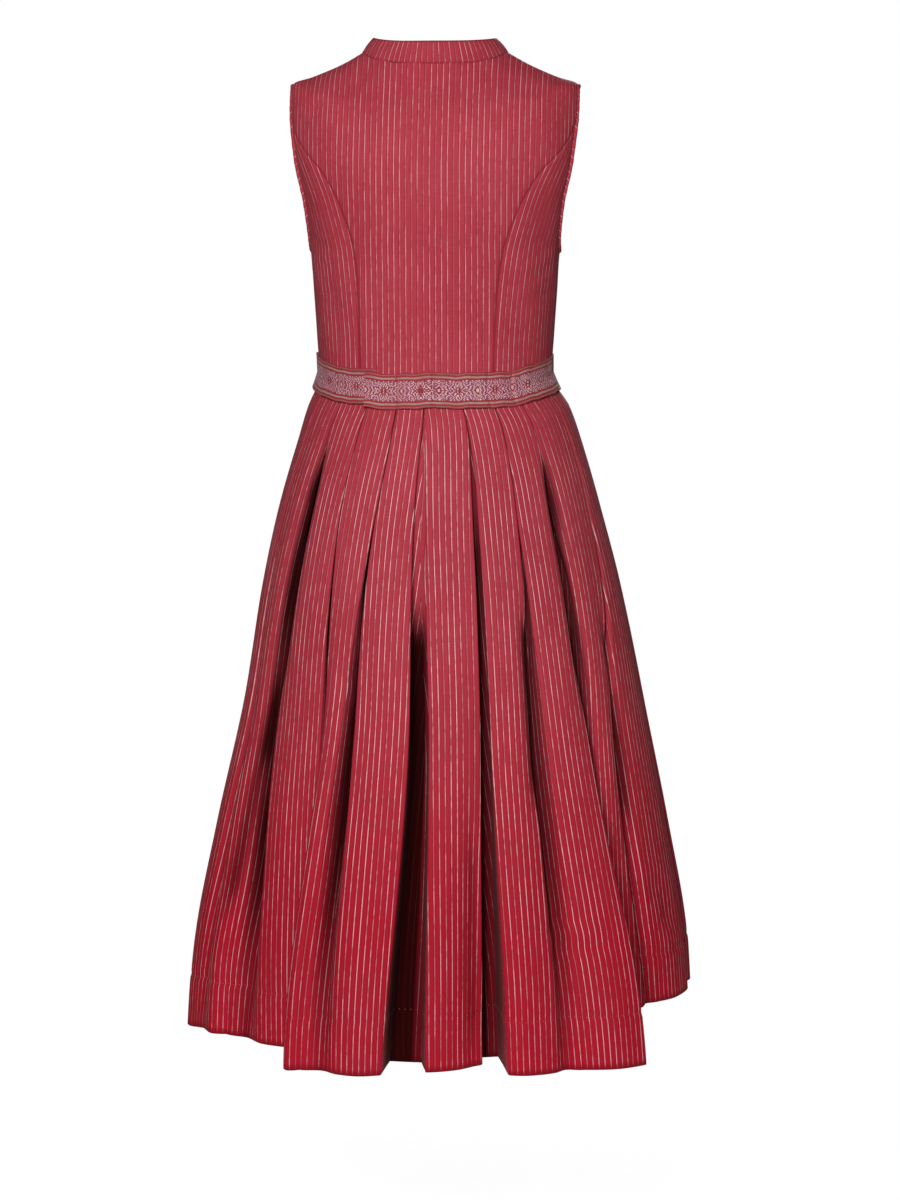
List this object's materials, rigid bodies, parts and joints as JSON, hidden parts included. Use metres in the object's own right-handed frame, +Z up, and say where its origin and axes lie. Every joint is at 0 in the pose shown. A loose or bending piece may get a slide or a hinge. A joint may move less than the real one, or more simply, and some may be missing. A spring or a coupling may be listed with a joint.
{
  "type": "sleeveless dress",
  "caption": "Sleeveless dress on its own hollow form: stand collar, closed princess-seamed back, piped armholes, woven waist ribbon and a pleated skirt opening into deep waves.",
  "frame": {"origin": "midway between the two shoulder tips, where the wearer's shoulders carry the dress", "axes": "+Z up along the dress's length, +Y the way the wearer faces, +X to the wearer's right"},
  "size_m": [0.564, 0.5049, 1.093],
  "materials": {
    "cloth": "striped woven cloth with a soft sheen",
    "piping": "corded edge covered in the dress's cloth",
    "ribbon": "patterned woven ribbon",
    "buttons": "buttons covered in the dress's cloth"
  },
  "bodies": {
    "root": {"back_centre": "cloth", "back_side_left": "cloth", "back_side_right": "cloth", "front_centre_left": "cloth", "front_centre_right": "cloth", "front_side_left": "cloth", "front_side_right": "cloth", "collar": "cloth", "front_placket": "cloth", "armhole_piping_left": "piping", "armhole_piping_right": "piping", "waist_ribbon": "ribbon", "skirt_back": "cloth", "skirt_front_left": "cloth", "skirt_front_right": "cloth", "button_1": "buttons", "button_2": "buttons", "button_3": "buttons", "button_4": "buttons", "button_5": "buttons", "button_6": "buttons", "button_7": "buttons", "button_8": "buttons"}
  },
  "joints": []
}
